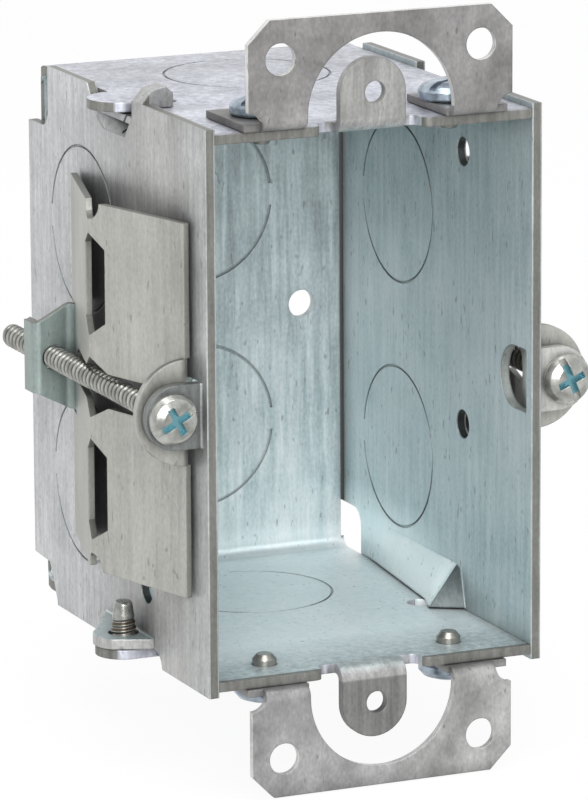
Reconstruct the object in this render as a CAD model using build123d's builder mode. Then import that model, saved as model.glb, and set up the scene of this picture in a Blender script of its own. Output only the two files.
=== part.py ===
from build123d import *
import os

os.makedirs("parts", exist_ok=True)

# Frame: +X right and +Z up as seen from the front, +Y into the wall.
# The origin is the centre of the front opening, level with the front of the device tabs.
# Half a turn about Y brings the box, its plates, ears, clamps and screws onto themselves.

# Box, millimetres
gang_width = 46.04
box_height = 75.3
box_depth = 62.8
wall_sheet = 1.3
plate_sheet = 1.4
back_side_gap = 0.45
wall_bend = 1.4
seat_gap = 0.05
fit_gap = 0.15

# Device tabs
device_spacing = 83.34
tab_width = 9.5
tab_shift = -0.3
tab_hole_radius = 1.5
tab_bend = 0.8
tab_relief = 2.7
tab_relief_depth = 2.6
tab_relief_corner = 1.2

# Knockouts
knockout_radius = 11.5
back_knockout_radius = 11.8
groove_width = 0.35
groove_depth = 0.25
bridge_width = 3.2
side_knockout_depth = 42.9
side_knockout_rise = 17.7
end_knockout_depth = 42.5
back_knockout_rise = 16.4

# Small holes
back_hole_radius = 2.0
back_hole_offset = 16.5
end_hole_radius = 1.8
end_hole_offset = 19.0
end_hole_depth = 26.9
plate_hole_radius = 2.05
plate_hole_depth = 21.5
plate_hole_low = 28.3
plate_hole_high = 10.0

# Lugs of the channel beside its open sides
hold_lug_radius = 4.6
hold_lug_depth = 32.3
screw_lug_radius = 3.9
side_screw_overhang = 3.75
side_screw_depth = 24.4

# Side plates
plate_proud = 0.75
plate_rear_gap = 0.0
rear_notch_depth = 7.3
rear_notch_height = 8.6
rear_notch_corner = 2.5
hold_lug_clearance = 0.25
hold_cut_rear = 39.4
hold_cut_slope = 2.4
cut_front = 16.3
screw_cut_rear = 36.7

# Hook and dish of a side plate
hook_width = 3.3
hook_depth = 23.3
hook_reach = 4.65
hook_top = 40.6
hook_shoulder = 1.5
hook_gap = 0.1
slit_width = 0.45
slit_length = 6.4
slit_depth = 27.1
slit_rise = 35.8
slit_angle = -49.2
dish_reach = 4.4
dish_front = 20.5
dish_nose = 23.2
dish_ridge = 27.6
dish_ridge_reach = 3.0
dish_rear = 54.0
dish_bottom = 30.3
dish_bottom_front = 22.0
dish_bottom_rear = 50.0
hollow_front = 25.4
hollow_rear = 39.0
hollow_reach = 2.6
hollow_bottom = 33.0
hollow_ceiling = 1.0

# Screw flange of a side plate
flange_front = 19.2
flange_rear = 36.0
flange_tip_radius = 4.2
flange_bend = 0.4
flange_hole_radius = 2.1

# Side plate screws
side_screw_radius = 1.85
side_screw_tip_radius = 1.1
side_screw_rise = 4.3
side_head_radius = 2.9
side_head_height = 0.9

# Plaster ears
ear_sheet = 1.0
ear_forward = 1.0
ear_width = 38.2
ear_top = 52.6
ear_hole_spacing = 29.0
ear_hole_rise = 47.35
ear_hole_radius = 2.15
ear_cutout_width = 21.2
ear_cutout_top = 50.0
ear_chamfer = 3.1
ear_notch_radius = 2.2
ear_bend = 0.5
ear_leg_depth = 12.1
ear_leg_inner = 10.2
ear_seat_gap = 0.1
ear_head_gap = 0.1

# Plaster ear screws
ear_screw_offset = 13.7
ear_screw_depth = 6.4
ear_screw_radius = 1.65
ear_slot_gap = 0.25
ear_screw_stub = 1.5
ear_screw_tip_radius = 1.05
ear_head_radius = 4.15
ear_head_height = 2.4
drive_slot_width = 1.0
drive_slot_depth = 0.9

# Clamp screws and the lanced tabs that their heads bear on
clamp_screw_offset = 4.4
clamp_screw_radius = 1.65
clamp_screw_tip = 59.8
clamp_head_radius = 3.45
clamp_head_height = 2.2
thread_fit = 0.05
lance_width = 8.8
lance_face = 1.6
lance_window_rear = 9.7
lance_reach = 7.95
lance_bend = 0.4
lance_hole_radius = 1.9

# Clamps, each one folded sheet
clamp_sheet = 0.9
clamp_height = 50.8
clamp_ear_face = 4.1
clamp_front_gap = 0.4
clamp_fold_depth = 24.0
clamp_fold_reach = 6.93
clamp_rear = 44.2
clamp_rear_gap = 0.3
clamp_ear_radius = 7.2
clamp_ear_hole_radius = 2.1
fold_notch_radius = 2.3
fold_slot_tips = (7.1, 21.2)
fold_slot_corners = (9.2, 19.3)
fold_slot_half = 3.4
middle_tip = 4.2
middle_run = 3.8
middle_half = 2.36
middle_front = 11.4
middle_rear = 36.7
nut_root_half = 7.4
nut_end_half = 4.95
nut_reach = 7.3
nut_bend = 1.0
nut_lip = 2.9
nut_relief = 0.4

# Values that follow from the sizes above
half_gang = gang_width / 2
half_height = box_height / 2
inner_half = half_height - wall_sheet
back_inner = box_depth - wall_sheet
plate_in = half_gang + seat_gap
plate_out = plate_in + plate_sheet
plate_middle = plate_in + plate_sheet / 2
plate_top = half_height + plate_proud
plate_rear = box_depth - plate_rear_gap
tab_rise = device_spacing / 2
tab_top = tab_rise + tab_width / 2
bend_line = tab_bend + wall_sheet / 2
side_screw_x = half_gang + side_screw_overhang
flange_under = fit_gap - inner_half
flange_top = flange_under + plate_sheet
clamp_screw_x = plate_out + clamp_screw_offset
lance_tip = plate_out + lance_reach
clamp_front_x = plate_out + clamp_front_gap + clamp_sheet / 2
clamp_ear_x = plate_out + clamp_front_gap + clamp_sheet
clamp_fold_x = plate_out + clamp_fold_reach - clamp_sheet / 2
clamp_rear_x = plate_out + clamp_rear_gap + clamp_sheet / 2
clamp_ear_middle = clamp_ear_face + clamp_sheet / 2
nut_middle = clamp_rear - clamp_sheet / 2
nut_x = plate_out + nut_reach - clamp_sheet / 2
leg_under = half_height + ear_seat_gap
leg_top = leg_under + ear_sheet
leg_middle = leg_under + ear_sheet / 2
head_under = leg_top + ear_head_gap
dish_level = inner_half - hold_lug_clearance


def ring_groove(radius, bridge_angle):
    """One sheared knockout ring, broken by the bridge that holds its disc."""
    with BuildSketch(mode=Mode.PRIVATE) as ring:
        Circle(radius + groove_width / 2)
        Circle(radius - groove_width / 2, mode=Mode.SUBTRACT)
        with PolarLocations(radius, 1, start_angle=bridge_angle):
            Rectangle(3 * groove_width, bridge_width, mode=Mode.SUBTRACT)
    return ring.sketch


# Device tab: bent up from the end wall, with a rounded end about the screw hole.
with BuildPart() as device_tab:
    with BuildSketch(Plane.YZ):
        with BuildLine():
            FilletPolyline(
                (tab_relief_depth, half_height - wall_sheet / 2),
                (wall_sheet / 2, half_height - wall_sheet / 2),
                (wall_sheet / 2, tab_top),
                radius=bend_line,
            )
        trace(line_width=wall_sheet)
    extrude(amount=tab_width, both=True)
    with BuildSketch(Plane.XZ):
        with Locations((tab_shift, tab_rise)):
            Circle(tab_width / 2)
        with Locations((tab_shift, (tab_rise + inner_half) / 2)):
            Rectangle(tab_width, tab_rise - inner_half)
    extrude(amount=-2 * box_depth, mode=Mode.INTERSECT)
    with BuildSketch(Plane.XZ):
        with Locations((0, tab_rise)):
            Circle(tab_hole_radius)
    extrude(amount=-wall_sheet, mode=Mode.SUBTRACT)

# The channel is one strip: top wall, back wall and bottom wall, with lugs and device tabs.
with BuildPart() as box_channel:
    with BuildSketch(Plane.YZ):
        with BuildLine():
            FilletPolyline(
                (0, half_height - wall_sheet / 2),
                (box_depth - wall_sheet / 2, half_height - wall_sheet / 2),
                (box_depth - wall_sheet / 2, wall_sheet / 2 - half_height),
                (0, wall_sheet / 2 - half_height),
                radius=wall_bend + wall_sheet / 2,
            )
        trace(line_width=wall_sheet)
    extrude(amount=half_gang, both=True)

    # Plain lugs hold the hooked end of each side plate, threaded lugs take its screw.
    for level, side in ((inner_half, 1), (-half_height, -1)):
        with BuildSketch(Plane.XY.offset(level)):
            with Locations((-side * half_gang, hold_lug_depth)):
                Circle(hold_lug_radius)
            with Locations((side * side_screw_x, side_screw_depth)):
                Circle(screw_lug_radius)
            with Locations((side * (half_gang + side_screw_x - 2) / 2, side_screw_depth)):
                Rectangle(side_screw_overhang + 2, 2 * screw_lug_radius)
        extrude(amount=wall_sheet)

    # Relief beside the bend of each device tab, with rounded corners on the wall's front edge.
    with BuildSketch(Plane.XY) as relief:
        with Locations((tab_shift, tab_relief_depth / 2)):
            Rectangle(tab_width + 2 * tab_relief, tab_relief_depth)
        fillet(relief.vertices().group_by(Axis.Y)[-1], radius=tab_relief_corner)
        relief_edge = tab_width / 2 + tab_relief + tab_relief_corner
        with Locations((tab_shift, 0)):
            Rectangle(2 * relief_edge, 2 * tab_relief_corner)
        with Locations(
            (tab_shift - relief_edge, tab_relief_corner),
            (tab_shift + relief_edge, tab_relief_corner),
        ):
            Circle(tab_relief_corner, mode=Mode.SUBTRACT)
    extrude(amount=half_height, both=True, mode=Mode.SUBTRACT)
    add(device_tab.part)
    add(device_tab.part.mirror(Plane.XY))

    # Holes for the ear screws, the side plate screws and one spare fixing in each end wall.
    with BuildSketch(Plane.XY.offset(-half_height)):
        for offset in (-ear_screw_offset, ear_screw_offset):
            with Locations((offset, ear_screw_depth)):
                Circle(ear_screw_radius + thread_fit)
    extrude(amount=box_height, mode=Mode.SUBTRACT)
    for level, side in ((inner_half, 1), (-half_height, -1)):
        with BuildSketch(Plane.XY.offset(level)):
            with Locations((side * side_screw_x, side_screw_depth)):
                Circle(side_screw_radius + thread_fit)
            with Locations((-side * end_hole_offset, end_hole_depth)):
                Circle(end_hole_radius)
        extrude(amount=wall_sheet, mode=Mode.SUBTRACT)
    for side in (-1, 1):
        with BuildSketch(Plane.XZ.offset(-side_screw_depth)):
            with BuildLine():
                Polyline(
                    (side * side_screw_x, side * half_height),
                    (side * (side_screw_x + side_head_radius + thread_fit), side * half_height),
                    (
                        side * (side_screw_x + side_screw_radius + thread_fit),
                        side * (half_height - side_head_height),
                    ),
                    (side * side_screw_x, side * (half_height - side_head_height)),
                    close=True,
                )
            make_face()
        revolve(
            axis=Axis((side * side_screw_x, side_screw_depth, 0), (0, 0, 1)),
            mode=Mode.SUBTRACT,
        )

    # The back wall stops a little short of the side plates.
    with BuildSketch(Plane.XY):
        for side in (-1, 1):
            with Locations((side * half_gang, back_inner)):
                Rectangle(2 * back_side_gap, 2 * wall_sheet, align=(Align.CENTER, Align.MIN))
    extrude(amount=half_height, both=True, mode=Mode.SUBTRACT)

    # Fixing hole in the back wall.
    with BuildSketch(Plane.XZ.offset(-back_inner)):
        with Locations((back_hole_offset, 0)):
            Circle(back_hole_radius)
    extrude(amount=-wall_sheet, mode=Mode.SUBTRACT)

    # Knockouts: one in each end wall and two in the back wall, sheared from both faces.
    for level, step in ((inner_half, 1), (half_height, -1)):
        for side in (1, -1):
            with BuildSketch(Plane.XY.offset(side * level)):
                with Locations((0, end_knockout_depth)):
                    add(ring_groove(knockout_radius, 90))
            extrude(amount=side * step * groove_depth, mode=Mode.SUBTRACT)
    for depth, step in ((back_inner, -1), (box_depth, 1)):
        with BuildSketch(Plane.XZ.offset(-depth)):
            with Locations((0, back_knockout_rise), (0, -back_knockout_rise)):
                add(ring_groove(back_knockout_radius, 0))
        extrude(amount=step * groove_depth, mode=Mode.SUBTRACT)

box_channel.part.label = "box_channel"
export_step(box_channel.part, "parts/box_channel.step")


def dish_loft():
    """Nose pressed in under the holding lug: a steep front, a long rear slope."""
    face_x = -plate_in
    with BuildPart(mode=Mode.PRIVATE) as dish:
        with BuildSketch(Plane.XY.offset(dish_bottom)):
            with BuildLine():
                Polyline(
                    (-plate_middle, dish_bottom_front),
                    (face_x, dish_bottom_front),
                    (face_x + 0.05, dish_nose),
                    (face_x + 0.05, dish_ridge),
                    (face_x, dish_bottom_rear),
                    (-plate_middle, dish_bottom_rear),
                    close=True,
                )
            make_face()
        with BuildSketch(Plane.XY.offset(dish_level)):
            with BuildLine():
                Polyline(
                    (-plate_middle, dish_front),
                    (face_x, dish_front),
                    (face_x + dish_reach, dish_nose),
                    (face_x + dish_ridge_reach, dish_ridge),
                    (face_x, dish_rear),
                    (-plate_middle, dish_rear),
                    close=True,
                )
            make_face()
        loft(ruled=True)
    return dish.part


def dish_hollow():
    """The hollow behind the nose, on the outer face of the plate."""
    with BuildPart(mode=Mode.PRIVATE) as hollow:
        with BuildSketch(Plane.XY.offset(hollow_bottom)):
            with BuildLine():
                Polyline(
                    (-plate_out - 1, hollow_front + 2),
                    (0.05 - plate_out, hollow_front + 2),
                    (0.05 - plate_out, hollow_rear - 4),
                    (-plate_out - 1, hollow_rear - 4),
                    close=True,
                )
            make_face()
        with BuildSketch(Plane.XY.offset(dish_level - hollow_ceiling)):
            with BuildLine():
                Polyline(
                    (-plate_out - 1, hollow_front),
                    (hollow_reach - plate_out, hollow_front + 1.5),
                    (-plate_out, hollow_rear),
                    (-plate_out - 1, hollow_rear),
                    close=True,
                )
            make_face()
        loft(ruled=True)
    return hollow.part


# Left side plate: hooked over the top wall, screwed to a lug of the bottom wall.
with BuildPart() as side_plate_left:
    with BuildSketch(Plane.YZ.offset(-plate_out)) as outline:
        with BuildLine():
            Polyline(
                (0, -plate_top),
                (0, plate_top),
                (plate_rear - rear_notch_depth, plate_top),
                (plate_rear - rear_notch_depth, plate_top - rear_notch_height),
                (plate_rear, plate_top - rear_notch_height),
                (plate_rear, -32.4),
                (plate_rear - 5.6, -32.7),
                (plate_rear - 6.6, -34.3),
                (plate_rear - 8.3, -37.7),
                (plate_rear - 8.4, -plate_top),
                (screw_cut_rear, -plate_top),
                (screw_cut_rear, hold_lug_clearance - inner_half),
                (flange_front, hold_lug_clearance - inner_half),
                (flange_front - 1.6, -inner_half - 0.1),
                (flange_front - 2.5, -inner_half - 0.9),
                (cut_front, -plate_top),
                close=True,
            )
        make_face()
        notch_corner = outline.vertices().sort_by_distance(
            (plate_rear - rear_notch_depth, plate_top - rear_notch_height, 0)
        )
        fillet(notch_corner[0], radius=rear_notch_corner)
    extrude(amount=plate_sheet)

    # The top edge drops under the holding lug behind the hook.
    with BuildSketch(Plane.YZ.offset(-plate_out)):
        with BuildLine():
            Polyline(
                (hook_depth + hook_width / 2, plate_top + 1),
                (hook_depth + hook_width / 2, inner_half - hold_lug_clearance),
                (hold_cut_rear, inner_half - hold_lug_clearance),
                (hold_cut_rear + hold_cut_slope, plate_top + 1),
                close=True,
            )
        make_face()
    extrude(amount=plate_sheet, mode=Mode.SUBTRACT)

    # Hook over the top wall, with its end turned down onto it.
    with BuildSketch(Plane.XZ.offset(hook_width / -2 - hook_depth)):
        with BuildLine():
            Polyline(
                (-plate_out, inner_half),
                (-plate_out, hook_top - 1.6 * hook_shoulder),
                (hook_shoulder - plate_out, hook_top - 0.5),
                (hook_reach - 1.1 - plate_out, hook_top),
                (hook_reach - plate_out, hook_top - 0.9),
                (hook_reach - plate_out, half_height + hook_gap),
                (-plate_in, half_height + hook_gap),
                (-plate_in, inner_half),
                close=True,
            )
        make_face()
    extrude(amount=hook_width)

    # Nose under the holding lug, hollow on the outside.
    add(dish_loft())
    add(dish_hollow(), mode=Mode.SUBTRACT)

    # Slit between the hook and the nose.
    with BuildSketch(Plane.YZ.offset(-plate_out)):
        with Locations(Location((slit_depth, slit_rise), slit_angle)):
            Rectangle(slit_length, slit_width)
    extrude(amount=plate_sheet, mode=Mode.SUBTRACT)

    # Flange for the plate screw, turned out above the threaded lug.
    with BuildSketch(Plane.XZ.offset(-flange_rear)):
        with BuildLine():
            FilletPolyline(
                (-plate_middle, flange_top + 2 * flange_bend),
                (-plate_middle, flange_top - plate_sheet / 2),
                (-side_screw_x - flange_tip_radius, flange_top - plate_sheet / 2),
                radius=flange_bend + plate_sheet / 2,
            )
        trace(line_width=plate_sheet)
    extrude(amount=flange_rear - flange_front)
    with BuildSketch(Plane.XY.offset(flange_under)):
        Rectangle(10, 2 * box_depth, align=(Align.MAX, Align.CENTER))
        with Locations((-plate_out, 0)):
            Rectangle(20, 2 * box_depth, align=(Align.MAX, Align.CENTER))
        with BuildLine():
            flange_tip = CenterArc((-side_screw_x, side_screw_depth), flange_tip_radius, 135, 90)
            Line(flange_tip @ 0, (-plate_out, flange_rear))
            Line((-plate_out, flange_rear), (-plate_out, flange_front))
            Line((-plate_out, flange_front), flange_tip @ 1)
        make_face(mode=Mode.SUBTRACT)
        Rectangle(2 * plate_out, 2 * box_depth, mode=Mode.SUBTRACT)
    extrude(amount=plate_sheet, mode=Mode.SUBTRACT)
    with BuildSketch(Plane.XY.offset(flange_under)):
        with Locations((-side_screw_x, side_screw_depth)):
            Circle(flange_hole_radius)
    extrude(amount=plate_sheet + side_screw_rise, mode=Mode.SUBTRACT)

    # Lanced tab for the clamp screw: the window it leaves, then the tab turned outward.
    with BuildSketch(Plane.YZ.offset(-plate_out)):
        with Locations((lance_window_rear - lance_width / 2, 0)):
            Circle(lance_width / 2)
        with Locations(((lance_window_rear - lance_width / 2 + lance_face - lance_bend) / 2, 0)):
            Rectangle(lance_window_rear - lance_width / 2 - lance_face + lance_bend, lance_width)
    extrude(amount=plate_sheet, mode=Mode.SUBTRACT)
    with BuildSketch(Plane.XY.offset(-lance_width / 2)):
        with BuildLine():
            FilletPolyline(
                (-plate_middle, lance_face / 2),
                (-plate_middle, lance_face + plate_sheet / 2),
                (-lance_tip, lance_face + plate_sheet / 2),
                radius=lance_bend + plate_sheet / 2,
            )
        trace(line_width=plate_sheet)
    extrude(amount=lance_width)
    lance_end = edges().filter_by(Axis.Y).group_by(Axis.X)[0]
    fillet(lance_end, radius=lance_width / 2 - 0.1)
    with BuildSketch(Plane.XZ.offset(-lance_face)):
        with Locations((-clamp_screw_x, 0)):
            Circle(lance_hole_radius)
    extrude(amount=-plate_sheet, mode=Mode.SUBTRACT)

    # Round holes and knockouts.
    with BuildSketch(Plane.YZ.offset(-plate_out)):
        with Locations((plate_hole_depth, -plate_hole_low), (plate_hole_depth, plate_hole_high)):
            Circle(plate_hole_radius)
    extrude(amount=plate_sheet, mode=Mode.SUBTRACT)
    for face_x, step in ((-plate_out, 1), (-plate_in, -1)):
        with BuildSketch(Plane.YZ.offset(face_x)):
            with Locations(
                (side_knockout_depth, side_knockout_rise),
                (side_knockout_depth, -side_knockout_rise),
            ):
                add(ring_groove(knockout_radius, 0))
        extrude(amount=step * groove_depth, mode=Mode.SUBTRACT)

side_plate_left.part.label = "side_plate_left"
export_step(side_plate_left.part, "parts/side_plate_left.step")

with BuildPart() as side_plate_right:
    add(side_plate_left.part.rotate(Axis.Y, 180))
side_plate_right.part.label = "side_plate_right"
export_step(side_plate_right.part, "parts/side_plate_right.step")


# Side plate screw: a flush slotted head in the lug, the tip standing above the flange.
with BuildPart() as side_screw_left:
    with BuildSketch(Plane.XZ.offset(-side_screw_depth)):
        with BuildLine():
            Polyline(
                (-side_screw_x, -half_height),
                (side_head_radius - side_screw_x, -half_height),
                (side_screw_radius - side_screw_x, side_head_height - half_height),
                (side_screw_radius - side_screw_x, flange_top + 1.6),
                (side_screw_tip_radius - side_screw_x, flange_top + side_screw_rise),
                (-side_screw_x, flange_top + side_screw_rise),
                close=True,
            )
        make_face()
    revolve(axis=Axis((-side_screw_x, side_screw_depth, 0), (0, 0, 1)))
    with BuildSketch(Plane.XY.offset(-half_height)):
        with Locations((-side_screw_x, side_screw_depth)):
            Rectangle(2 * side_head_radius, drive_slot_width)
    extrude(amount=drive_slot_depth, mode=Mode.SUBTRACT)

side_screw_left.part.label = "side_screw_left"
export_step(side_screw_left.part, "parts/side_screw_left.step")

with BuildPart() as side_screw_right:
    add(side_screw_left.part.rotate(Axis.Y, 180))
side_screw_right.part.label = "side_screw_right"
export_step(side_screw_right.part, "parts/side_screw_right.step")


# Top plaster ear: an upright plate with a D cut-out, and two legs that lie on the top wall.
with BuildPart() as plaster_ear_top:
    with BuildSketch(Plane.YZ):
        with BuildLine():
            FilletPolyline(
                (ear_leg_depth, leg_middle),
                (-ear_forward - ear_sheet / 2, leg_middle),
                (-ear_forward - ear_sheet / 2, ear_top),
                radius=ear_bend + ear_sheet / 2,
            )
        trace(line_width=ear_sheet)
    extrude(amount=ear_width / 2, both=True)
    top_corners = edges().filter_by(Axis.Y).group_by(Axis.Z)[-1]
    chamfer(top_corners, length=ear_chamfer)

    # D cut-out, with the legs a little closer together than its sides.
    with BuildSketch(Plane.XZ.offset(ear_forward - ear_bend)):
        with Locations((0, ear_cutout_top - ear_cutout_width / 2)):
            Circle(ear_cutout_width / 2)
        with Locations((0, leg_under)):
            Rectangle(ear_cutout_width, 2 * (ear_cutout_top - ear_cutout_width / 2 - leg_under))
    extrude(amount=2 * ear_sheet, mode=Mode.SUBTRACT)
    with BuildSketch(Plane.XY.offset(leg_under)):
        Rectangle(2 * ear_leg_inner, 3 * ear_leg_depth)
    extrude(amount=2 * ear_sheet, mode=Mode.SUBTRACT)

    # Round notch at the outer end of each bend.
    with BuildSketch(Plane.XZ.offset(ear_forward - ear_bend)):
        with Locations((-ear_width / 2, leg_middle), (ear_width / 2, leg_middle)):
            Circle(ear_notch_radius)
    extrude(amount=2 * ear_sheet, mode=Mode.SUBTRACT)

    # Screw holes to the wall, and open slots in the legs for travel on the box.
    with BuildSketch(Plane.XZ.offset(ear_forward)):
        for offset in (-ear_hole_spacing / 2, ear_hole_spacing / 2):
            with Locations((offset, ear_hole_rise)):
                Circle(ear_hole_radius)
    extrude(amount=ear_sheet, mode=Mode.SUBTRACT)
    with BuildSketch(Plane.XY.offset(leg_under)):
        for offset in (-ear_screw_offset, ear_screw_offset):
            with Locations((offset, ear_screw_depth - 1.6)):
                Circle(ear_screw_radius + ear_slot_gap)
            with Locations((offset, ear_screw_depth - 1.6)):
                Rectangle(
                    2 * (ear_screw_radius + ear_slot_gap),
                    2 * ear_leg_depth,
                    align=(Align.CENTER, Align.MIN),
                )
    extrude(amount=ear_sheet, mode=Mode.SUBTRACT)

plaster_ear_top.part.label = "plaster_ear_top"
export_step(plaster_ear_top.part, "parts/plaster_ear_top.step")

with BuildPart() as plaster_ear_bottom:
    add(plaster_ear_top.part.rotate(Axis.Y, 180))
plaster_ear_bottom.part.label = "plaster_ear_bottom"
export_step(plaster_ear_bottom.part, "parts/plaster_ear_bottom.step")


# Plaster ear screws: low domed slotted heads, stubs that come through the wall.
with BuildPart() as ear_screw_top_left:
    with BuildSketch(Plane.XZ.offset(-ear_screw_depth)):
        with BuildLine():
            Polyline(
                (-ear_screw_offset, inner_half - ear_screw_stub),
                (ear_screw_tip_radius - ear_screw_offset, inner_half - ear_screw_stub),
                (ear_screw_radius - ear_screw_offset, inner_half - 0.8),
                (ear_screw_radius - ear_screw_offset, head_under),
                (ear_head_radius - 0.25 - ear_screw_offset, head_under),
                (ear_head_radius - ear_screw_offset, head_under + 0.3),
                (ear_head_radius - ear_screw_offset, head_under + 1.2),
                (ear_head_radius - 0.6 - ear_screw_offset, head_under + ear_head_height - 0.5),
                (ear_head_radius - 2.0 - ear_screw_offset, head_under + ear_head_height),
                (-ear_screw_offset, head_under + ear_head_height),
                close=True,
            )
        make_face()
    revolve(axis=Axis((-ear_screw_offset, ear_screw_depth, 0), (0, 0, 1)))
    with BuildSketch(Plane.XY.offset(head_under + ear_head_height)):
        with Locations(Location((-ear_screw_offset, ear_screw_depth), 30)):
            Rectangle(2 * ear_head_radius, drive_slot_width)
    extrude(amount=-drive_slot_depth, mode=Mode.SUBTRACT)

ear_screw_top_left.part.label = "ear_screw_top_left"
export_step(ear_screw_top_left.part, "parts/ear_screw_top_left.step")

with BuildPart() as ear_screw_top_right:
    with Locations((2 * ear_screw_offset, 0, 0)):
        add(ear_screw_top_left.part)
ear_screw_top_right.part.label = "ear_screw_top_right"
export_step(ear_screw_top_right.part, "parts/ear_screw_top_right.step")

with BuildPart() as ear_screw_bottom_left:
    add(ear_screw_top_right.part.rotate(Axis.Y, 180))
ear_screw_bottom_left.part.label = "ear_screw_bottom_left"
export_step(ear_screw_bottom_left.part, "parts/ear_screw_bottom_left.step")

with BuildPart() as ear_screw_bottom_right:
    add(ear_screw_top_left.part.rotate(Axis.Y, 180))
ear_screw_bottom_right.part.label = "ear_screw_bottom_right"
export_step(ear_screw_bottom_right.part, "parts/ear_screw_bottom_right.step")


# Left clamp: one sheet folded to a V that spreads behind the wallboard when its screw turns.
with BuildPart() as clamp_left:
    with BuildSketch(Plane.XY.offset(-clamp_height / 2)):
        with BuildLine():
            FilletPolyline(
                (-clamp_front_x, clamp_ear_middle),
                (-clamp_fold_x, clamp_fold_depth),
                (-clamp_rear_x, clamp_rear),
                radius=clamp_sheet,
            )
        trace(line_width=clamp_sheet)
    extrude(amount=clamp_height)

    # Room for the two strips that turn outward at the middle of the front and rear edges.
    with BuildSketch(Plane.YZ.offset(-lance_tip)):
        with Locations((0, 0)):
            Rectangle(2 * (clamp_ear_face + 2.0), 2 * clamp_ear_radius)
        with Locations((clamp_rear, 0)):
            Rectangle(2 * 3.2, 2 * (nut_root_half + nut_relief))
    extrude(amount=lance_tip, mode=Mode.SUBTRACT)
    with BuildSketch(Plane.XY.offset(-clamp_ear_radius)):
        with BuildLine():
            FilletPolyline(
                (-clamp_ear_x - clamp_ear_radius - 0.5, clamp_ear_middle),
                (-clamp_front_x, clamp_ear_middle),
                (
                    -clamp_front_x - 0.2 * (clamp_fold_x - clamp_front_x),
                    clamp_ear_middle + 0.2 * (clamp_fold_depth - clamp_ear_middle),
                ),
                radius=0.3 + clamp_sheet / 2,
            )
        trace(line_width=clamp_sheet)
    extrude(amount=2 * clamp_ear_radius)
    with BuildSketch(Plane.XY.offset(-nut_root_half)):
        with BuildLine():
            FilletPolyline(
                (
                    -clamp_rear_x - 0.25 * (clamp_fold_x - clamp_rear_x),
                    clamp_rear - 0.25 * (clamp_rear - clamp_fold_depth),
                ),
                (-clamp_rear_x, nut_middle),
                (-nut_x, nut_middle),
                (-nut_x, nut_middle + nut_lip + clamp_sheet / 2),
                radius=(nut_bend + clamp_sheet / 2, 0.2 + clamp_sheet / 2),
            )
        trace(line_width=clamp_sheet)
    extrude(amount=2 * nut_root_half)

    # Round outline of the front ear, tapered outline of the nut tab and its lip.
    with BuildSketch(Plane.XZ.offset(-clamp_ear_face - clamp_sheet)):
        with Locations((-clamp_ear_x - 0.2, 0)):
            Rectangle(12, 3 * clamp_ear_radius, align=(Align.MAX, Align.CENTER))
        with Locations((-clamp_ear_x, 0)):
            Circle(clamp_ear_radius, mode=Mode.SUBTRACT)
    extrude(amount=clamp_sheet, mode=Mode.SUBTRACT)
    with BuildSketch(Plane.XZ.offset(-clamp_rear - 2 * nut_lip)):
        for side in (1, -1):
            with BuildLine():
                Polyline(
                    (-nut_x - 2, side * nut_end_half),
                    (-nut_x, side * nut_end_half),
                    (-clamp_rear_x - nut_bend - 0.4, side * nut_root_half),
                    (-clamp_rear_x - nut_bend - 0.4, side * (nut_root_half + 1)),
                    (-nut_x - 2, side * (nut_root_half + 1)),
                    close=True,
                )
            make_face()
    extrude(amount=3 * nut_lip, mode=Mode.SUBTRACT)

    # Slots across the fold, and the long opening that lets the screw pass through the V.
    with BuildSketch(Plane.YZ.offset(-lance_tip)):
        with Locations((clamp_fold_depth, clamp_height / 2), (clamp_fold_depth, -clamp_height / 2)):
            Circle(fold_notch_radius)
        for side in (1, -1):
            with BuildLine():
                Polyline(
                    (clamp_fold_depth, side * fold_slot_tips[0]),
                    (clamp_fold_depth - fold_slot_half, side * fold_slot_corners[0]),
                    (clamp_fold_depth - fold_slot_half, side * fold_slot_corners[1]),
                    (clamp_fold_depth, side * fold_slot_tips[1]),
                    (clamp_fold_depth + fold_slot_half, side * fold_slot_corners[1]),
                    (clamp_fold_depth + fold_slot_half, side * fold_slot_corners[0]),
                    close=True,
                )
            make_face()
        with BuildLine():
            Polyline(
                (middle_front, middle_half),
                (clamp_fold_depth - middle_run, middle_half),
                (clamp_fold_depth, middle_tip),
                (clamp_fold_depth + middle_run, middle_half),
                (middle_rear, middle_half),
                (middle_rear, -middle_half),
                (clamp_fold_depth + middle_run, -middle_half),
                (clamp_fold_depth, -middle_tip),
                (clamp_fold_depth - middle_run, -middle_half),
                (middle_front, -middle_half),
                close=True,
            )
        make_face()
        with Locations((middle_front, 0), (middle_rear, 0)):
            Circle(middle_half)
    extrude(amount=lance_tip, mode=Mode.SUBTRACT)

    # Clearance hole in the front ear, threaded hole in the nut tab.
    with BuildSketch(Plane.XZ.offset(-clamp_ear_face - clamp_sheet)):
        with Locations((-clamp_screw_x, 0)):
            Circle(clamp_ear_hole_radius)
    extrude(amount=clamp_sheet, mode=Mode.SUBTRACT)
    with BuildSketch(Plane.XZ.offset(-clamp_rear)):
        with Locations((-clamp_screw_x, 0)):
            Circle(clamp_screw_radius + thread_fit)
    extrude(amount=clamp_sheet + nut_bend, mode=Mode.SUBTRACT)

clamp_left.part.label = "clamp_left"
export_step(clamp_left.part, "parts/clamp_left.step")

with BuildPart() as clamp_right:
    add(clamp_left.part.rotate(Axis.Y, 180))
clamp_right.part.label = "clamp_right"
export_step(clamp_right.part, "parts/clamp_right.step")


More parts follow.
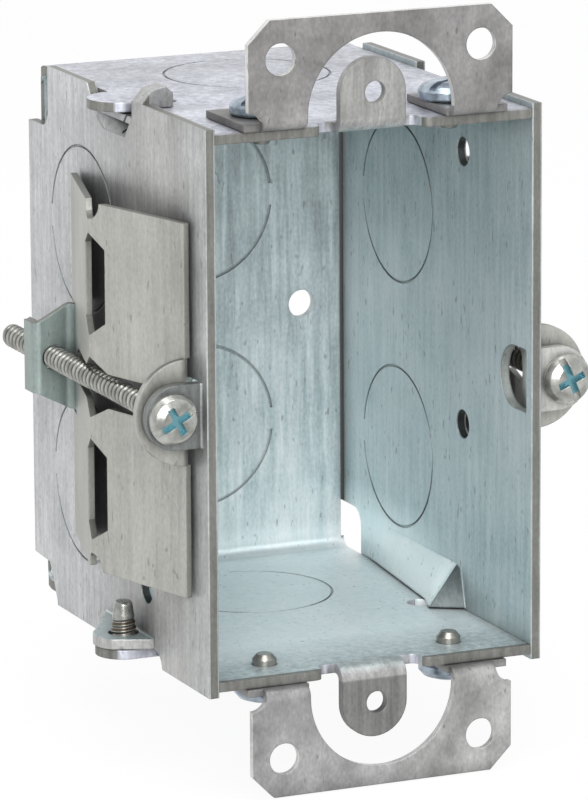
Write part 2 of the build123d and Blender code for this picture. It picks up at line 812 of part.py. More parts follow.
# Clamp screw: pan head on the lanced tab, shank through both ends of the clamp.
with BuildPart() as clamp_screw_left:
    with BuildSketch():
        with BuildLine():
            Polyline(
                (-clamp_screw_x, lance_face - clamp_head_height),
                (clamp_head_radius - 1.5 - clamp_screw_x, lance_face - clamp_head_height),
                (clamp_head_radius - 0.5 - clamp_screw_x, lance_face - 1.7),
                (clamp_head_radius - clamp_screw_x, lance_face - 0.9),
                (clamp_head_radius - 0.1 - clamp_screw_x, lance_face),
                (clamp_screw_radius - clamp_screw_x, lance_face),
                (clamp_screw_radius - clamp_screw_x, clamp_screw_tip - 0.8),
                (clamp_screw_radius - 0.6 - clamp_screw_x, clamp_screw_tip),
                (-clamp_screw_x, clamp_screw_tip),
                close=True,
            )
        make_face()
    revolve(axis=Axis((-clamp_screw_x, 0, 0), (0, 1, 0)))
    with BuildSketch(Plane.XZ.offset(clamp_head_height - lance_face)):
        with Locations((-clamp_screw_x, 0)):
            Rectangle(2 * clamp_head_radius, drive_slot_width)
            Rectangle(drive_slot_width, 4.0)
    extrude(amount=-drive_slot_depth, mode=Mode.SUBTRACT)

clamp_screw_left.part.label = "clamp_screw_left"
export_step(clamp_screw_left.part, "parts/clamp_screw_left.step")

with BuildPart() as clamp_screw_right:
    add(clamp_screw_left.part.rotate(Axis.Y, 180))
clamp_screw_right.part.label = "clamp_screw_right"
export_step(clamp_screw_right.part, "parts/clamp_screw_right.step")
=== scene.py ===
# %% [markdown]
# # Drywall back box
# This file dresses a folded steel switch box: a channel closed by two side plates, two plaster
# ears and two wallboard clamps with long screws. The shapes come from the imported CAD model, in
# metres. +X is right, +Y goes into the wall and +Z is up. What is made here is what CAD leaves
# out: the zinc finish, the screw threads, the light and the camera.

# %% Load the frame
import math
import bmesh
import bpy
from mathutils import Matrix, Vector


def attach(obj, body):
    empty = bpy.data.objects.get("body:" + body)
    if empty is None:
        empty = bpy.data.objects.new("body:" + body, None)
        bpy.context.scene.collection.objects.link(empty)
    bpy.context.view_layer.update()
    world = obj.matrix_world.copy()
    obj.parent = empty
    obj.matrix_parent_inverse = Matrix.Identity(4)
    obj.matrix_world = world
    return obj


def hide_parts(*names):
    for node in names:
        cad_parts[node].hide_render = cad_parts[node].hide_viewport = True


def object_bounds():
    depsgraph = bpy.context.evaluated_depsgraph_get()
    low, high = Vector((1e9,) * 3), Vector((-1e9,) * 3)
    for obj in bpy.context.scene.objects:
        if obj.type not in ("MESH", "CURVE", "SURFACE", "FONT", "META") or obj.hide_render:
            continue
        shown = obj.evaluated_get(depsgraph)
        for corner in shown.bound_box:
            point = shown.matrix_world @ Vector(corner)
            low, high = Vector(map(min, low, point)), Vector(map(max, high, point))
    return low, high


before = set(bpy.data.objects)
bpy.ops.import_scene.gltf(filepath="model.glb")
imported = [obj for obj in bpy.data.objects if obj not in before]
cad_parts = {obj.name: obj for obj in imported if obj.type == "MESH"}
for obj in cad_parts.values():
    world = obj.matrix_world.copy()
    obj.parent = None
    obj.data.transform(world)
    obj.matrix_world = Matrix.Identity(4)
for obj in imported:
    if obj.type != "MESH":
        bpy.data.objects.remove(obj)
cad_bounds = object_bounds()
MM = 0.001
print("nodes:", len(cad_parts))

# %% [markdown]
# ## Adding one node
# A Blender material is a graph of nodes joined by links. It could be drawn by hand, but a
# script is easier to repeat. `put` adds one node and fills its inputs: a number is set, and
# the output of another node is linked.

# %% Add a node


def put(tree, kind, values=None, **props):
    """Add a node, set its properties, then set or link its inputs."""
    node = tree.nodes.new(kind)
    for key, value in props.items():
        setattr(node, key, value)
    for key, value in (values or {}).items():
        if isinstance(value, bpy.types.NodeSocket):
            tree.links.new(value, node.inputs[key])
        else:
            node.inputs[key].default_value = value
    return node


print("helper: put")

# %% [markdown]
# ## Ramp, sum and mix
# Three nodes do most of the work. A ramp turns a noise into clear light and dark, a math node
# joins two amounts, and a mix lays one colour over another. A line for each use keeps the
# recipes below short enough to read as a list of layers.

# %% Ramp, sum and mix


def ramp(tree, fac, stops):
    """Grey ramp from a list of (position, grey)."""
    node = put(tree, "ShaderNodeValToRGB", {"Fac": fac})
    elements = node.color_ramp.elements
    while len(elements) < len(stops):
        elements.new(0.5)
    for element, (position, grey) in zip(elements, stops):
        element.position = position
        element.color = (grey, grey, grey, 1)
    return node.outputs["Color"]


def math_node(tree, operation, first, second, third=0.0):
    node = put(tree, "ShaderNodeMath", {0: first, 1: second, 2: third}, operation=operation)
    return node.outputs[0]


# A Mix node has sockets for every kind of data, and these are the ones for colour.
MIX_FACTOR, MIX_FIRST, MIX_SECOND, MIX_RESULT = 0, 6, 7, 2


def mix(tree, factor, first, second, blend="MIX"):
    node = put(tree, "ShaderNodeMix", data_type="RGBA", blend_type=blend)
    for key, value in ((MIX_FACTOR, factor), (MIX_FIRST, first), (MIX_SECOND, second)):
        if isinstance(value, bpy.types.NodeSocket):
            tree.links.new(value, node.inputs[key])
        else:
            node.inputs[key].default_value = value if key == MIX_FACTOR else (*value, 1)
    return node.outputs[MIX_RESULT]


print("helpers: ramp, math_node, mix")

# %% [markdown]
# ## Colours and noise
# Colours are written as the 8-bit values that a picture shows, and turned into the linear
# values that a shader wants. Noise read through stretched coordinates becomes streaks: a
# large scale gives fine marks, and a small scale along one axis draws them out along it.

# %% Colour and noise helpers


def srgb(red, green, blue):
    """An 8-bit colour as linear values."""
    return tuple(
        c / 12.92 if c <= 0.04045 else ((c + 0.055) / 1.055) ** 2.4
        for c in (red / 255, green / 255, blue / 255)
    )


def scaled(tree, scale, turn=(0, 0, 0)):
    """Object coordinates, stretched so that noise becomes streaks."""
    coords = put(tree, "ShaderNodeTexCoord").outputs["Object"]
    node = put(tree, "ShaderNodeMapping", {"Vector": coords, "Scale": scale, "Rotation": turn})
    return node.outputs["Vector"]


def noise(tree, vector, detail=2.0, rough=0.5):
    node = put(
        tree,
        "ShaderNodeTexNoise",
        {"Vector": vector, "Scale": 1.0, "Detail": detail, "Roughness": rough},
    )
    return node.outputs["Fac"]


print("mid grey, linear:", round(srgb(128, 128, 128)[0], 3))

# %% [markdown]
# ## Where a point lies
# One piece has several tones: the inside of a wall is painted cooler than its outside, as light
# bounced inside the box, a tab is duller, and a sheared edge is dark. The faces could be given
# separate materials, but their borders would then follow the mesh. So each point is measured
# instead: its place in millimetres, the direction it faces, and whether that direction is
# towards the middle of the box, which tells inside from outside.

# %% Measure a point
BOX_MIDDLE = (0, 30, 0)
CLAMP_SCREW_X = 28.87


def split(tree, vector):
    """The three parts of a vector, and their sizes without a sign."""
    parts = put(tree, "ShaderNodeSeparateXYZ", {"Vector": vector}).outputs
    sizes = [math_node(tree, "ABSOLUTE", part, 0.0) for part in parts]
    return list(parts), sizes


def places(tree):
    """Millimetres and directions by name: a for a size without sign, n for the normal.

    off_screw is the distance from the axis of the nearer clamp screw.
    """
    coords = put(tree, "ShaderNodeTexCoord").outputs
    place = put(
        tree, "ShaderNodeVectorMath", {0: coords["Object"], "Scale": 1 / MM}, operation="SCALE"
    )
    where, where_size = split(tree, place.outputs["Vector"])
    turned, turned_size = split(tree, coords["Normal"])
    outward = put(
        tree,
        "ShaderNodeVectorMath",
        {0: place.outputs["Vector"], 1: BOX_MIDDLE},
        operation="SUBTRACT",
    )
    facing = put(
        tree,
        "ShaderNodeVectorMath",
        {0: outward.outputs["Vector"], 1: coords["Normal"]},
        operation="DOT_PRODUCT",
    )
    names = ("x", "y", "z", "ax", "ay", "az", "nx", "ny", "nz", "anx", "any", "anz")
    facts = dict(zip(names, where + where_size + turned + turned_size))
    facts["inside"] = math_node(tree, "LESS_THAN", facing.outputs["Value"], 0.0)
    sideways = math_node(tree, "SUBTRACT", facts["ax"], CLAMP_SCREW_X)
    square = math_node(tree, "MULTIPLY_ADD", facts["z"], facts["z"], 0.0)
    square = math_node(tree, "MULTIPLY_ADD", sideways, sideways, square)
    facts["off_screw"] = math_node(tree, "SQRT", square, 0.0)
    return facts


print("box middle in mm:", BOX_MIDDLE, "clamp screws at x:", CLAMP_SCREW_X)

# %% [markdown]
# ## Zones
# A zone is a mask made as a product of steps. A step names a quantity, its value where the
# mask is 0 and its value where it is 1. Two near values give a hard border, such as an edge,
# and two distant ones a soft change, such as a wall that grows brighter towards the bottom.

# %% Zones
INSIDE = ("inside", 0.4, 0.6)
OUTSIDE = ("inside", 0.6, 0.4)


def zone(tree, facts, steps):
    """Product of the steps (quantity, value for 0, value for 1)."""
    mask = 1.0
    for name, none, full in steps:
        step = put(
            tree,
            "ShaderNodeMapRange",
            {"Value": facts[name], "From Min": none, "From Max": full},
        )
        mask = math_node(tree, "MULTIPLY", mask, step.outputs["Result"])
    return mask


def coloured_by_zone(tree, colour, zones):
    """Lay the tone of each zone over the colour, later zones over earlier ones."""
    facts = places(tree)
    for tone, steps in zones:
        colour = mix(tree, zone(tree, facts, steps), colour, tone)
    return colour


print("helpers: zone, coloured_by_zone")

# %% [markdown]
# ## Bands and streaks of coated sheet
# The box is pressed from coated strip. Such strip has broad soft bands along the rolling
# direction, fine streaks in them and a cloudy bloom. Each is a layer of noise laid over two
# near tones. A photograph of steel would be quicker, but it would repeat and would fix the
# light; noise does neither. The scales are per metre.

# %% Bands and streaks
BAND_SHARE = 0.12
TWO_TONES = [(0.35, 0), (0.65, 1)]


def banded(tree, light, dark, streaks):
    """Broad bands of two tones, along the same direction as the streaks."""
    bands = noise(tree, scaled(tree, tuple(s * BAND_SHARE for s in streaks)), detail=2)
    return mix(tree, ramp(tree, bands, TWO_TONES), dark, light)


def overlay_noise(tree, colour, layers):
    """Lay each noise (value, spread about mid grey, amount) over the colour."""
    for layer, spread, amount in layers:
        tone = ramp(tree, layer, [(0.3, 0.5 - spread), (0.7, 0.5 + spread)])
        colour = mix(tree, amount, colour, tone, "OVERLAY")
    return colour


print("bands are", round(1 / BAND_SHARE, 1), "times as wide as streaks")

# %% [markdown]
# ## Wear of the press, and painted crevice shade
# The press leaves thin scratches and small dull pits. Shade in crevices, where two sheets meet,
# is painted into the colour. A scratch is a narrow slice out of a noise that is drawn out along
# one direction, so it needs no drawn line. A crevice is found by the Ambient Occlusion node,
# which looks for near faces.

# %% Scratches, pits and painted crevice shade
SCRATCH_SCALE = (700, 700, 28)
PIT_SCALE = (1500, 1500, 520)
LIGHT_SCRATCH = ((0.25, 0.3, 0.5), 0.62)
DARK_SCRATCH = ((-0.5, 0.9, -0.2), 0.36)


def scratches(tree, colour, strength):
    """Two sets of thin lines, each with its own angles and grey."""
    for turn, tone in (LIGHT_SCRATCH, DARK_SCRATCH):
        line = noise(tree, scaled(tree, SCRATCH_SCALE, turn), detail=1)
        thin = ramp(tree, line, [(0.318, 0), (0.325, 1), (0.332, 0)])
        amount = math_node(tree, "MULTIPLY", thin, strength)
        colour = mix(tree, amount, colour, (tone, tone, tone), "OVERLAY")
    return colour


def pitted(tree, colour, dark, strength):
    """Small dull pits, a little longer than they are wide."""
    pits = noise(tree, scaled(tree, PIT_SCALE), detail=1)
    pits = ramp(tree, pits, [(0.25, 1), (0.31, 0)])
    pits = math_node(tree, "MULTIPLY", pits, strength)
    return mix(tree, pits, colour, tuple(0.4 * c for c in dark))


def painted_crevice_shade(tree, colour, reach):
    """Paint shade: darken the colour where another face is nearer than reach."""
    crevice = put(tree, "ShaderNodeAmbientOcclusion", {"Distance": reach}, samples=2)
    crevice_shade = ramp(tree, crevice.outputs["AO"], [(0.1, 0.3), (0.9, 1.0)])
    return mix(tree, 1.0, colour, crevice_shade, "MULTIPLY")


print("helpers: scratches, pitted, painted_crevice_shade")

# %% [markdown]
# ## Light on a sheared edge
# A real edge is never sharp: the press rounds it by some tenths of a millimetre, and it shows
# as a thin bright line. The mesh could be bevelled, but it has to keep the CAD shape. The
# Bevel node turns only the shading normal near an edge, and a faint bump rides on it.

# %% Metal shader
EDGE_RADIUS = 0.3 * MM


def metal_surface(tree, colour, rough, metallic, height, strength, radius):
    """Join colour, roughness and a bump on rounded edges into one metal."""
    rounded = put(tree, "ShaderNodeBevel", {"Radius": radius}, samples=4)
    bump = put(
        tree,
        "ShaderNodeBump",
        {
            "Height": height,
            "Strength": strength,
            "Distance": radius,
            "Normal": rounded.outputs["Normal"],
        },
    )
    shader = put(
        tree,
        "ShaderNodeBsdfPrincipled",
        {
            "Base Color": colour,
            "Roughness": rough,
            "Metallic": metallic,
            "Normal": bump.outputs["Normal"],
        },
    )
    put(tree, "ShaderNodeOutputMaterial", {"Surface": shader.outputs["BSDF"]})


def empty_material(name):
    material = bpy.data.materials.new(name)
    material.use_nodes = True
    material.node_tree.nodes.clear()
    return material


print("edge radius in mm:", EDGE_RADIUS / MM)

# %% [markdown]
# ## One recipe for all sheets
# Channel, plates, ears and clamps come from different strip, but all are zinc coated. One recipe
# with a few amounts keeps them of one family. The numbers say how much of each layer a piece
# shows, and its zones say where its tone changes, many of them where light and shade are painted
# in.

# %% Sheet recipe
UPRIGHT_STREAKS = (900, 900, 60)
GRAIN_SCALE = (2600, 2600, 1500)
CLOUD_SCALE = (110, 110, 110)
SCRATCH_STRENGTH = 0.35
PIT_STRENGTH = 0.5
ROUGHNESS_SPREAD = 0.16


def zinc_sheet(name, light, dark, zones, streaks=UPRIGHT_STREAKS, **look):
    """Coated sheet: two tones and zones, then streaks, scratches, pits and painted crevice
    shade.
    """
    material = empty_material(name)
    tree = material.node_tree
    fine = noise(tree, scaled(tree, streaks), detail=4, rough=0.65)
    grain = noise(tree, scaled(tree, GRAIN_SCALE), detail=2)
    cloud = noise(tree, scaled(tree, CLOUD_SCALE), detail=4, rough=0.6)
    layers = (
        (fine, 0.25, look.get("fine", 0.5)),
        (grain, 0.2, look.get("grain", 0.3)),
        (cloud, 0.16, look.get("cloud", 0.45)),
    )
    colour = coloured_by_zone(tree, banded(tree, light, dark, streaks), zones)
    colour = overlay_noise(tree, colour, layers)
    colour = scratches(tree, colour, SCRATCH_STRENGTH)
    colour = pitted(tree, colour, dark, PIT_STRENGTH)
    # Shade in crevices is painted into the colour here.
    colour = painted_crevice_shade(tree, colour, look.get("crevice", 2.5) * MM)
    smoothest = look.get("roughness", 0.45) - ROUGHNESS_SPREAD / 2
    rough = math_node(tree, "MULTIPLY_ADD", fine, ROUGHNESS_SPREAD, smoothest)
    height = math_node(tree, "ADD", math_node(tree, "MULTIPLY", fine, 0.5), cloud)
    metallic = look.get("metallic", 0.5)
    metal_surface(tree, colour, rough, metallic, height, strength=0.12, radius=EDGE_RADIUS)
    print(name, "nodes:", len(tree.nodes), "zones:", len(zones))
    return material


cut_edge = srgb(112, 112, 108)
print("cut edge colour:", [round(c, 3) for c in cut_edge])

# %% [markdown]
# ## Channel
# Top, back and bottom wall are one strip folded twice. Inside, the walls throw light at each
# other, and this light is painted into the colour: cooler, brighter towards the bottom,
# brightest on the bottom wall and less bright at its front. The device tabs are bent from the
# same strip and duller. The side edges and the front edge show bare dark steel. Each place gets
# a name first, so that the list of tones reads like a description.

# %% Places of the channel
rear_of_top = [OUTSIDE, ("z", 37, 37.5), ("y", 25, 50)]
# Painted light: brighter low down inside, brightest on the bottom wall, less so at its front.
lower_inside_lit = [INSIDE, ("z", 5, -34)]
bottom_wall_lit = [INSIDE, ("z", -32, -36)]
bottom_wall_front_lit = bottom_wall_lit + [("y", 16, 3)]
tab_root = [("ax", 6.2, 6.0), ("y", 3.5, 2.5), ("az", 35.8, 37.6)]
device_tabs = [("az", 38.2, 38.5)]
lower_tab = [("z", -38.2, -38.5)]
side_edges = [("anx", 0.5, 0.6), ("ax", 22.3, 22.4)]
front_edges = [("ay", 1.0, 0.9), ("az", 37.7, 37.6), ("ax", 6.0, 6.1)]
print("tabs start at z:", device_tabs[0][2], "side edges at x:", side_edges[1][2])

# %% Channel finish
box_zinc = zinc_sheet(
    "box_zinc",
    srgb(185, 187, 197),
    srgb(169, 171, 180),
    [
        (srgb(168, 170, 177), rear_of_top),
        # Painted light inside: a cooler tint, brighter towards the bottom.
        (srgb(176, 186, 188), [INSIDE]),
        (srgb(199, 209, 211), lower_inside_lit),
        (srgb(230, 239, 241), bottom_wall_lit),
        (srgb(172, 183, 185), bottom_wall_front_lit),
        (srgb(146, 146, 144), tab_root),
        (srgb(138, 138, 136), device_tabs),
        (srgb(112, 112, 110), lower_tab),
        (cut_edge, side_edges),
        (cut_edge, front_edges),
    ],
    fine=0.6,
    cloud=0.6,
)

# %% [markdown]
# ## Side plates
# A side plate has the most places, and most of their tones are painted light and shade. The
# lanced tab under the screw head is painted dark on the left plate and light on the right. The
# pressed nose has two slopes: the front one gets painted shade and the rear one a painted
# highlight. Hole walls are bare cut edge, painted darker still as shade, and the wall of the
# window is painted light. The seam at the back gets a painted shadow, and the inside is painted
# cooler and brighter, as light bounced inside the box, with a painted highlight low down near
# the nose. A cut through the sheet shows only its core, so the edge masks stay within the middle
# of its thickness and leave two thin bright rims, as zinc drawn over a sheared edge does.

# %% Places of a side plate
outside_rear = [OUTSIDE, ("y", 22, 48)]
outside_front = [OUTSIDE, ("y", 10, 5)]
# Most places below are painted light and shade: lit inside walls, a shadow in the rear seam,
# lanced tabs, nose slopes, hole walls and the window wall.
middle_inside_lit = [INSIDE, ("z", 20, 0)]
lower_wall_inside_lit = [INSIDE, ("z", -5, -28)]
corner_inside_highlight = [INSIDE, ("z", -25.5, -30), ("y", 22, 34)]
rear_seam_shadow = [INSIDE, ("y", 61.2, 61.5)]
lanced_left_shade = [("x", -24.7, -24.8), ("az", 6, 5)]
lanced_right_lit = [("x", 24.7, 24.8), ("az", 6, 5)]
nose = [INSIDE, ("az", 29.8, 30.4), ("ax", 23.03, 22.9)]
nose_front_shade, nose_slope_highlight = nose + [("y", 23.25, 23.15)], nose + [("y", 23.15, 24.5), ("y", 56, 40)]
sheet_middle = [("anx", 0.6, 0.5), ("ax", 23.2, 23.3), ("ax", 24.35, 24.25)]
hole_wall_shade = sheet_middle + [("az", 35.4, 35.3), ("y", 0.5, 0.6), ("y", 54.4, 54.3)]
window_wall_lit = sheet_middle + [("az", 5.5, 5.4), ("y", 12, 11)]
plate_edges = [("az", 35.4, 35.6)], [("y", 0.4, 0.3)], [("y", 54.4, 54.6)]
print("plate core from x:", sheet_middle[1][2], "to", sheet_middle[2][2])

# %% Side plate finish
plate_zinc = zinc_sheet(
    "plate_zinc",
    srgb(171, 171, 170),
    srgb(158, 158, 157),
    [
        (srgb(180, 182, 184), outside_rear),
        (srgb(168, 171, 170), outside_front),
        # Painted light inside the plate, and a painted highlight low near the nose.
        (srgb(188, 201, 203), [INSIDE]),
        (srgb(203, 214, 216), middle_inside_lit),
        (srgb(192, 206, 208), lower_wall_inside_lit),
        (srgb(226, 238, 239), corner_inside_highlight),
        # Painted shadow on the plate inside the seam at the back.
        (srgb(44, 50, 52), rear_seam_shadow),
        # Painted shade on the left lanced tab, painted light on the right one.
        (srgb(118, 122, 121), lanced_left_shade),
        (srgb(190, 190, 187), lanced_right_lit),
        # Hole walls are bare cut edge with painted shade on it; the window wall gets painted
        # light.
        (srgb(62, 68, 68), hole_wall_shade),
        (srgb(186, 192, 189), window_wall_lit),
        # Painted shade on the front slope of the nose, painted highlight on its rear slope.
        (srgb(96, 103, 104), nose_front_shade),
        (srgb(236, 243, 243), nose_slope_highlight),
        *((cut_edge, sheet_middle + edge) for edge in plate_edges),
    ],
    metallic=0.6,
    roughness=0.4,
    fine=0.4,
    # Painted crevice shade reaches 5 mm on the plates and darkens them near the clamps.
    crevice=5.0,
)

# %% [markdown]
# ## Plaster ears
# The ears are thinner, darker strip with a blotchy bloom and no clear rolling direction, so
# their streaks are short and their cloud is strong. Their sheared rims get a painted highlight.

# %% Plaster ear finish
lower_ear = [("z", -38, -39)]
lower_ear_right = lower_ear + [("x", -4, 12)]
ear_rim_highlight = [("any", 0.6, 0.5), ("az", 39.2, 39.4)]
ear_zinc = zinc_sheet(
    "ear_zinc",
    srgb(134, 133, 133),
    srgb(100, 99, 97),
    [
        (srgb(142, 142, 142), lower_ear),
        (srgb(152, 152, 151), lower_ear_right),
        # Painted highlight on the upright rims.
        (srgb(196, 196, 194), ear_rim_highlight),
    ],
    streaks=(260, 260, 160),
    cloud=0.85,
)

# %% [markdown]
# ## Clamps
# The clamps are soft, smooth strip with a warm tone, made to fold. Streaks and bloom are weak
# here. The nut tab stands square to the rest and mirrors the floor; this reflection is painted
# into its colour, which is cooler. On the inside near the front, the clamp gets painted light.

# %% Clamp finish
nut_tab_reflection = [("y", 39, 39.5), ("az", 8, 7.5)]
behind_front_ear_lit = [INSIDE, ("y", 16, 14), ("az", 8, 7)]
clamp_edges = [("anz", 0.6, 0.7)]
clamp_zinc = zinc_sheet(
    "clamp_zinc",
    srgb(166, 166, 161),
    srgb(154, 154, 148),
    [
        # Painted reflection on the nut tab, painted light on the inner face near the front.
        (srgb(136, 148, 145), nut_tab_reflection),
        (srgb(232, 236, 233), behind_front_ear_lit),
        (cut_edge, clamp_edges),
    ],
    roughness=0.42,
    fine=0.25,
    grain=0.2,
    cloud=0.3,
)

# %% [markdown]
# ## Plated screws
# Screws are plated in a barrel, so they are brighter than sheet, and faintly cloudy instead of
# streaked. A recipe of their own is shorter than the one for sheet with most of it switched off.

# %% Screw recipe
SCREW_EDGE_RADIUS = 0.2 * MM
SCREW_CLOUD_SCALE = (500, 500, 500)


def zinc_screw(name, light, dark, roughness, zones):
    """Bright plated steel: a smooth surface with a cloudy tone and small bumps."""
    material = empty_material(name)
    tree = material.node_tree
    cloud = noise(tree, scaled(tree, SCREW_CLOUD_SCALE), detail=3)
    colour = mix(tree, ramp(tree, cloud, TWO_TONES), dark, light)
    colour = coloured_by_zone(tree, colour, zones)
    metal_surface(
        tree, colour, roughness, 0.8, cloud, strength=0.15, radius=SCREW_EDGE_RADIUS
    )
    print(name, "nodes:", len(tree.nodes), "zones:", len(zones))
    return material


print("screw edge radius in mm:", SCREW_EDGE_RADIUS / MM)

# %% [markdown]
# ## Three kinds of screw
# The roots of a thread lie in shade, and this shade is painted dark into the colour. The recess
# for the driver keeps a blue tint. On the clamp screws both are zones measured from the axis.
# The ear screws are duller where they end inside the box, and the plate screws in the turns past
# their lug.

# %% Screw finishes
ends_inside_box = [("az", 37.7, 37.6), ("ax", 20, 19)]
# Painted shade in the thread roots.
thread_root_shade = [("off_screw", 1.5, 1.3), ("y", 1.6, 1.8)]
driver_recess = [("off_screw", 2.2, 2.1), ("y", -0.45, -0.3), ("y", 1.4, 1.2)]
plate_screw_turns = [("anz", 0.15, 0.3), ("az", 34.9, 34.7), ("az", 32.4, 32.6)]
screw_zinc = zinc_screw(
    "screw_zinc",
    srgb(170, 182, 194),
    srgb(118, 130, 140),
    0.26,
    [(srgb(140, 138, 132), ends_inside_box)],
)
thread_zinc = zinc_screw(
    "thread_zinc",
    srgb(178, 179, 174),
    srgb(132, 133, 128),
    0.26,
    [(srgb(66, 63, 56), thread_root_shade), (srgb(104, 150, 160), driver_recess)],
)
side_screw_zinc = zinc_screw(
    "side_screw_zinc",
    srgb(176, 178, 174),
    srgb(120, 121, 117),
    0.24,
    [(srgb(84, 76, 66), plate_screw_turns)],
)

# %% [markdown]
# ## Dressing the pieces
# The CAD mesh of a piece stays as it is. Only its material slot is filled, by the first part
# of its name, so that left and right, or top and bottom, get the same finish.

# %% Assign materials
looks = {
    "box_channel": box_zinc,
    "side_plate": plate_zinc,
    "plaster_ear": ear_zinc,
    "clamp_left": clamp_zinc,
    "clamp_right": clamp_zinc,
    "ear_screw": screw_zinc,
    "side_screw": side_screw_zinc,
    "clamp_screw": thread_zinc,
}
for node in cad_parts:
    piece = bpy.data.objects[node]
    for prefix, material in looks.items():
        if node.startswith(prefix):
            piece.data.materials.clear()
            piece.data.materials.append(material)
print("materials:", len(bpy.data.materials))

# %% [markdown]
# ## Screw threads
# A thread is a ridge that climbs one pitch per turn. A screw modifier could sweep a profile,
# but a grid is plainer: at each height and angle the radius runs between root and crest,
# and the grid closes in a flat tip. A plate screw has only a few turns and then a smooth cone.

# %% Thread grid
AROUND = 24
PER_PITCH = 8
RUN_OUT = 0.5 * MM
TIP_SLOPE = 0.6
THINNEST = 0.2 * MM


def thread_grid(mesh, place, length, crest, root, pitch, taper=None, tip=0.6 * MM):
    """Add a thread along the local Z axis of place, closed at its far end.

    A taper (start, amount, bare) narrows the shank from start on, smooth beyond bare.
    """
    levels = int(length / pitch * PER_PITCH)
    start, amount, bare = taper or (length, 0.0, length)
    rows = []
    for level in range(levels + 1):
        along = length * level / levels
        narrow = amount * max(0.0, along - start) / max(length - start, MM)
        depth = (crest - root) * min(1.0, max(0.0, (bare + RUN_OUT - along) / RUN_OUT))
        end = max(0.0, along - (length - tip)) * TIP_SLOPE
        row = []
        for step in range(AROUND):
            angle = 2 * math.pi * step / AROUND
            phase = (along / pitch - step / AROUND) % 1.0
            ridge = 1 - abs(2 * phase - 1)
            radius = crest - depth * (1 - ridge) - narrow - end
            radius = max(radius, THINNEST)
            point = Vector((radius * math.cos(angle), radius * math.sin(angle), along))
            row.append(mesh.verts.new(place @ point))
        rows.append(row)
    for low, high in zip(rows, rows[1:]):
        for step in range(AROUND):
            after = (step + 1) % AROUND
            face = mesh.faces.new((low[step], low[after], high[after], high[step]))
            face.smooth = True
    mesh.faces.new(rows[-1])


print("points around the thread:", AROUND)

# %% [markdown]
# ## A head from CAD, a shank from the grid
# The head keeps its CAD outline and drive, so only the shank is cut off and grown again. The
# drive is turned to the angle at which the screw was left. Each new screw rides on the body
# of the old one, so that it moves with it, and takes its place.

# %% Threaded screw


def threaded_screw(node, place, start, length, crest, root, pitch, turn, **shape):
    """Copy the head of a CAD screw, turn it about its axis and give it a real thread."""
    original = bpy.data.objects[node]
    data = original.data.copy()
    mesh = bmesh.new()
    mesh.from_mesh(data)
    inverse = place.inverted()
    shank = [v for v in mesh.verts if (inverse @ (original.matrix_world @ v.co)).z > start]
    bmesh.ops.delete(mesh, geom=shank, context="VERTS")
    spin = place @ Matrix.Rotation(turn, 4, "Z") @ inverse
    bmesh.ops.transform(mesh, matrix=spin @ original.matrix_world, verts=mesh.verts)
    thread_grid(mesh, place, length, crest, root, pitch, **shape)
    mesh.to_mesh(data)
    mesh.free()
    piece = bpy.data.objects.new(node + "_threaded", data)
    bpy.context.collection.objects.link(piece)
    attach(piece, node if node.startswith("clamp") else "box")
    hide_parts(node)
    print(node, "faces", len(data.polygons))


def in_mm(**sizes):
    return {name: size * MM for name, size in sizes.items()}


print("one millimetre:", in_mm(size=1.0))

# %% [markdown]
# ## Clamp screws
# A clamp screw is long and coarse: its turns can be counted in a photograph, 1.3 mm apart. It
# points into the wall, so the thread's own Z axis is turned to +Y. The two recesses stand at
# different angles, as hand-turned screws do.

# %% Clamp screws
CLAMP_THREAD = in_mm(start=0.4, length=58.3, crest=1.65, root=1.22, pitch=1.3)
UNDER_HEAD_Y = 1.5 * MM
for side, name, turn in ((-1, "clamp_screw_left", -0.5), (1, "clamp_screw_right", 1.18)):
    foot = Matrix.Translation((side * CLAMP_SCREW_X * MM, UNDER_HEAD_Y, 0))
    axis = foot @ Matrix.Rotation(-math.pi / 2, 4, "X")
    threaded_screw(name, axis, turn=turn, **CLAMP_THREAD)

# %% [markdown]
# ## Plate screws
# A plate screw is short: fine turns near the head, then a smooth cone that finds its hole. The
# left one points up through the lower lug and the right one points down through the upper lug,
# so one is the other turned over.

# %% Plate screws
PLATE_THREAD = in_mm(start=0.9, length=7.25, crest=1.85, root=1.65, pitch=0.8, tip=0.3)
PLATE_CONE = (3 * MM, 0.65 * MM, 4.7 * MM)
PLATE_SCREW_AT = Vector((26.77 * MM, 24.4 * MM, 37.6 * MM))
for side, name, tilt in ((-1, "side_screw_left", 0.0), (1, "side_screw_right", math.pi)):
    foot = Matrix.Translation(PLATE_SCREW_AT * Vector((side, 1, side)))
    axis = foot @ Matrix.Rotation(tilt, 4, "X")
    threaded_screw(name, axis, turn=0.0, taper=PLATE_CONE, **PLATE_THREAD)

# %% [markdown]
# ## Floor
# A product is shown on white, yet it needs a shadow to stand on. A plain white floor would
# turn grey. This one gives its own white to the camera and to reflections, and keeps a small
# share of a matt floor, which carries the shadow.

# %% Floor
FLOOR_SIZE = 6
FLOOR_GLOW = 0.93
floor_level = cad_bounds[0][2] - 0.2 * MM
bpy.ops.mesh.primitive_plane_add(size=FLOOR_SIZE, location=(0, 0, floor_level))
floor = bpy.context.object
floor.name = "stage_floor"


def seen_directly(tree):
    """1 for camera, glossy and transmission rays, 0 for light that is bounced."""
    path = put(tree, "ShaderNodeLightPath").outputs
    seen = math_node(tree, "MAXIMUM", path["Is Camera Ray"], path["Is Glossy Ray"])
    return math_node(tree, "MAXIMUM", seen, path["Is Transmission Ray"])


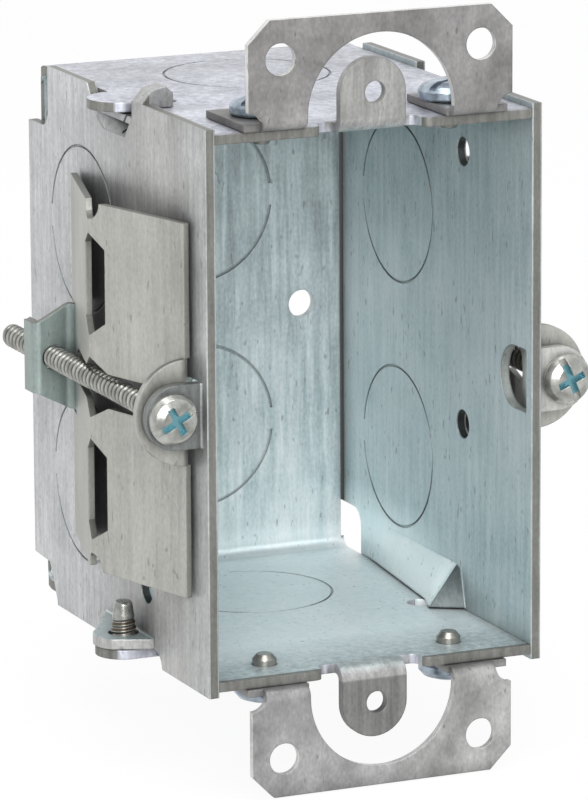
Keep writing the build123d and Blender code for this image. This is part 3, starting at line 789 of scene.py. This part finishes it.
floor_look = empty_material("floor_white")
ground = floor_look.node_tree
matt = put(ground, "ShaderNodeBsdfDiffuse", {"Color": (0.8, 0.8, 0.8, 1)})
lit = put(ground, "ShaderNodeEmission", {"Color": (1, 1, 1, 1), "Strength": 1.0})
share = math_node(ground, "MULTIPLY", seen_directly(ground), FLOOR_GLOW)
cover = put(ground, "ShaderNodeMixShader", {0: share, 1: matt.outputs[0], 2: lit.outputs[0]})
put(ground, "ShaderNodeOutputMaterial", {"Surface": cover.outputs[0]})
floor.data.materials.append(floor_look)
print("floor level in mm:", round(floor_level / MM, 2))

# %% [markdown]
# ## World
# Bright sheet metal shows what stands around it. A white world gives soft even light, as a
# light tent does. It is a little weaker as light than it is to look at, which keeps the
# background white while the steel stays grey.

# %% World
WORLD_LIGHT = 0.75
world = bpy.data.worlds.new("studio")
bpy.context.scene.world = world
world.use_nodes = True
sky = world.node_tree
sky.nodes.clear()
seen = seen_directly(sky)
plain = put(sky, "ShaderNodeBackground", {"Color": (1, 1, 1, 1), "Strength": WORLD_LIGHT})
white = put(sky, "ShaderNodeBackground", {"Color": (1, 1, 1, 1), "Strength": 1.0})
shade = put(sky, "ShaderNodeMixShader", {0: seen, 1: plain.outputs[0], 2: white.outputs[0]})
put(sky, "ShaderNodeOutputWorld", {"Surface": shade.outputs[0]})
print("world light:", WORLD_LIGHT)

# %% [markdown]
# ## Lamps
# A light tent alone looks flat. Two large square lamps give it a direction: one above lifts the
# top wall and the upper ear, and one in front of the left side lights the inside of the box.
# Large lamps keep the shadows soft, and a few watts are enough so near to the box.

# %% Lamps
BOX_CENTRE = (0, 0.02, 0)


def soft_light(name, place, size, power):
    """A square lamp that points at the box."""
    lamp = bpy.data.lights.new(name, "AREA")
    lamp.shape = "SQUARE"
    lamp.size = size
    lamp.energy = power
    holder = bpy.data.objects.new(name, lamp)
    bpy.context.collection.objects.link(holder)
    holder.location = place
    aim = Vector(BOX_CENTRE) - Vector(place)
    holder.rotation_euler = aim.to_track_quat("-Z", "Y").to_euler()


soft_light("key_top", (-0.1, -0.2, 0.8), size=0.6, power=5.0)
soft_light("fill_front", (-0.35, -0.85, 0.3), size=0.5, power=7.0)
print("lamps:", len(bpy.data.lights))

# %% [markdown]
# ## Camera
# The view is from the left, above and in front, through a long lens from 0.8 m away, so that
# upright edges stay almost parallel. The camera is placed by two of its axes, because a fit to
# known sizes of the box gives axes more directly than angles. The small shift keeps the framing.

# %% Camera
camera_data = bpy.data.cameras.new("view_camera")
camera = bpy.data.objects.new("view_camera", camera_data)
bpy.context.collection.objects.link(camera)
bpy.context.scene.camera = camera
camera_data.sensor_width = 36.0
camera_data.lens = 270.73
camera_data.shift_x = -0.0443
camera_data.shift_y = 0.0159
camera_data.clip_end = 20.0
right = Vector((0.91155, -0.411169, -0.004174))
ahead = Vector((0.39985, 0.888733, -0.224217))
up = right.cross(ahead)
rotation = Matrix((right, up, -ahead)).transposed()
stand = Matrix.Translation((-0.3263185, -0.710131, 0.1781599))
camera.matrix_world = stand @ rotation.to_4x4()
print("camera distance in m:", round(camera.matrix_world.translation.length, 3))

# %% [markdown]
# ## Finish
# The view transform stays plain, so that a colour comes out as it is written.

# %% Finish
bpy.context.scene.view_settings.view_transform = "Standard"
